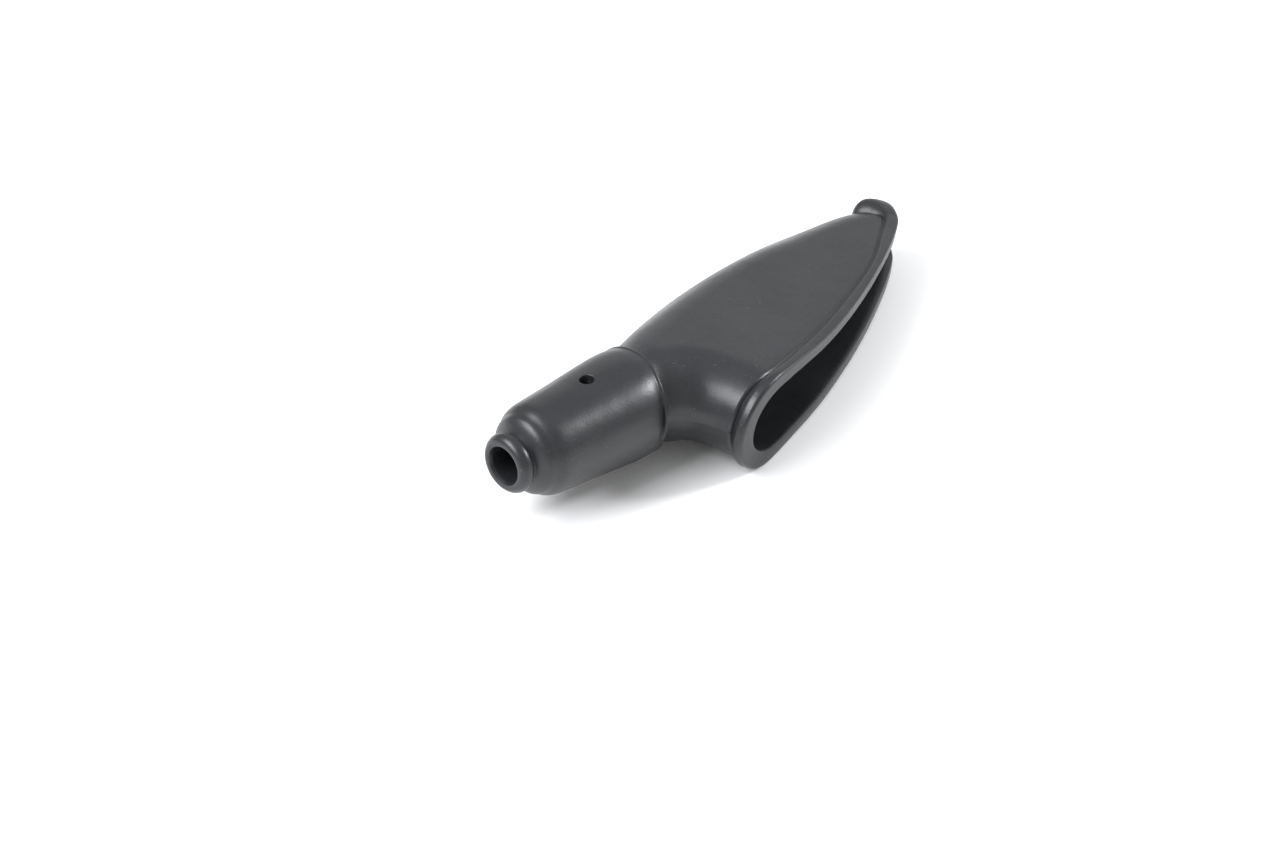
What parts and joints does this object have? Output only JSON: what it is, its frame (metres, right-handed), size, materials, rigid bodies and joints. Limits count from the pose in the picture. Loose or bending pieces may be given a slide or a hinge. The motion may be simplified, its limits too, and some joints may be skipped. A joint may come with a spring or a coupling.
{
  "type": "control cable dust boot",
  "caption": "Moulded rubber dust boot: round cable sleeve with an end collar, necked into a flat hollow hood with a beaded slit mouth for a lever.",
  "frame": {"origin": "on the sleeve's axis, in the face of the cable collar", "axes": "+X along the sleeve from the cable end towards the hood's tip; +Z square to the flat cheeks, on the side of the drain hole; the slit mouth faces -Y"},
  "size_m": [0.1198, 0.0408, 0.021],
  "materials": {
    "rubber": "satin moulded",
    "rubber_bead": "satin moulded, slightly polished by handling"
  },
  "bodies": {
    "sleeve": {"cable_collar": "rubber", "barrel_shoulder": "rubber", "barrel_sleeve": "rubber", "neck_web": "rubber"},
    "hood": {"back_fold": "rubber", "side_wall": "rubber", "corner_bead": "rubber_bead", "tip_cap": "rubber_bead"},
    "upper_flap": {"upper_cheek": "rubber", "upper_lip": "rubber_bead"},
    "lower_flap": {"lower_cheek": "rubber", "lower_lip": "rubber_bead"}
  },
  "joints": [
    {"name": "neck_bend", "type": "hinge", "parent": "sleeve", "child": "hood", "pos_m": [0.0338, 0, 0], "axis": [0, 0, 1], "range_deg": [-7, 7], "stiffness_Nm_per_rad": 0.08, "deforming": ["neck_web"]},
    {"name": "upper_spread", "type": "hinge", "parent": "hood", "child": "upper_flap", "pos_m": [0.044, 0.004, 0.0087], "axis": [-0.9945, -0.0825, 0.0639], "range_deg": [0, 5], "stiffness_Nm_per_rad": 0.08},
    {"name": "lower_spread", "type": "hinge", "parent": "hood", "child": "lower_flap", "pos_m": [0.044, 0.004, -0.0087], "axis": [0.9945, 0.0825, 0.0639], "range_deg": [0, 5], "stiffness_Nm_per_rad": 0.08}
  ],
  "couplings": [
    {"joint": "lower_spread", "follows": "upper_spread", "ratio": 1}
  ]
}
